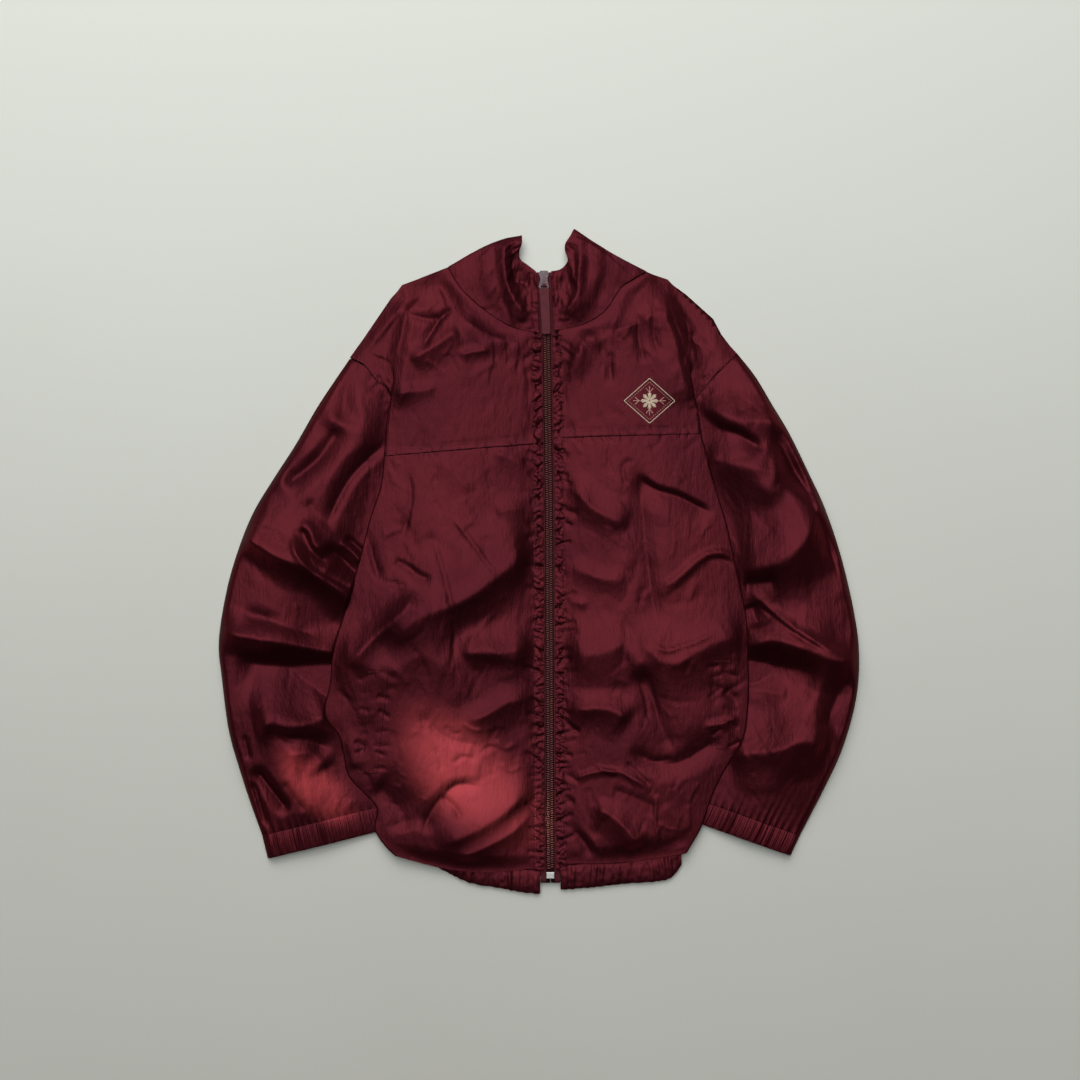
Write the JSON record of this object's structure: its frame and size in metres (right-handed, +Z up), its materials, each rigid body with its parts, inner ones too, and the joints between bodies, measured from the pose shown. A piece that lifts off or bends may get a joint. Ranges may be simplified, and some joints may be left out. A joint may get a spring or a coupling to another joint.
{
  "type": "windbreaker",
  "caption": "Zip-up nylon windbreaker laid flat on its back, with stand collar, chest yokes, slanted welt pockets and gathered cuffs and hem.",
  "frame": {"origin": "centre of the bounding box, on the surface that the jacket lies on", "axes": "+Z up from the surface, +Y towards the collar, +X towards the wearer's left"},
  "size_m": [0.687, 0.712, 0.0376],
  "materials": {
    "shell": "shiny burgundy nylon taffeta, crinkled",
    "zip_tape": "woven burgundy tape",
    "zip_coil": "burgundy nylon coil",
    "slider_metal": "worn purple-grey enamel on metal",
    "pull_tab": "burgundy moulded tab",
    "box_metal": "bare pressed metal"
  },
  "bodies": {
    "root": {"back": "shell", "yoke_right": "shell", "yoke_left": "shell", "front_right": "shell", "front_left": "shell", "placket_right": "shell", "placket_left": "shell", "sleeve_right": "shell", "sleeve_left": "shell", "cuff_right": "shell", "cuff_left": "shell", "hem_right": "shell", "hem_left": "shell", "hem_back": "shell", "collar": "shell", "welt_right": "shell", "welt_left": "shell", "zip_tape_right": "zip_tape", "zip_tape_left": "zip_tape", "zip_chain": "zip_coil", "zip_slider": "slider_metal", "zip_box": "box_metal"},
    "pull": {"zip_pull": "pull_tab"}
  },
  "joints": [
    {"name": "pull_swing", "type": "hinge", "parent": "root", "child": "pull", "pos_m": [0.00552, 0.296, 0.0087], "axis": [-1, 0, 0], "range_deg": [0, 150]}
  ]
}
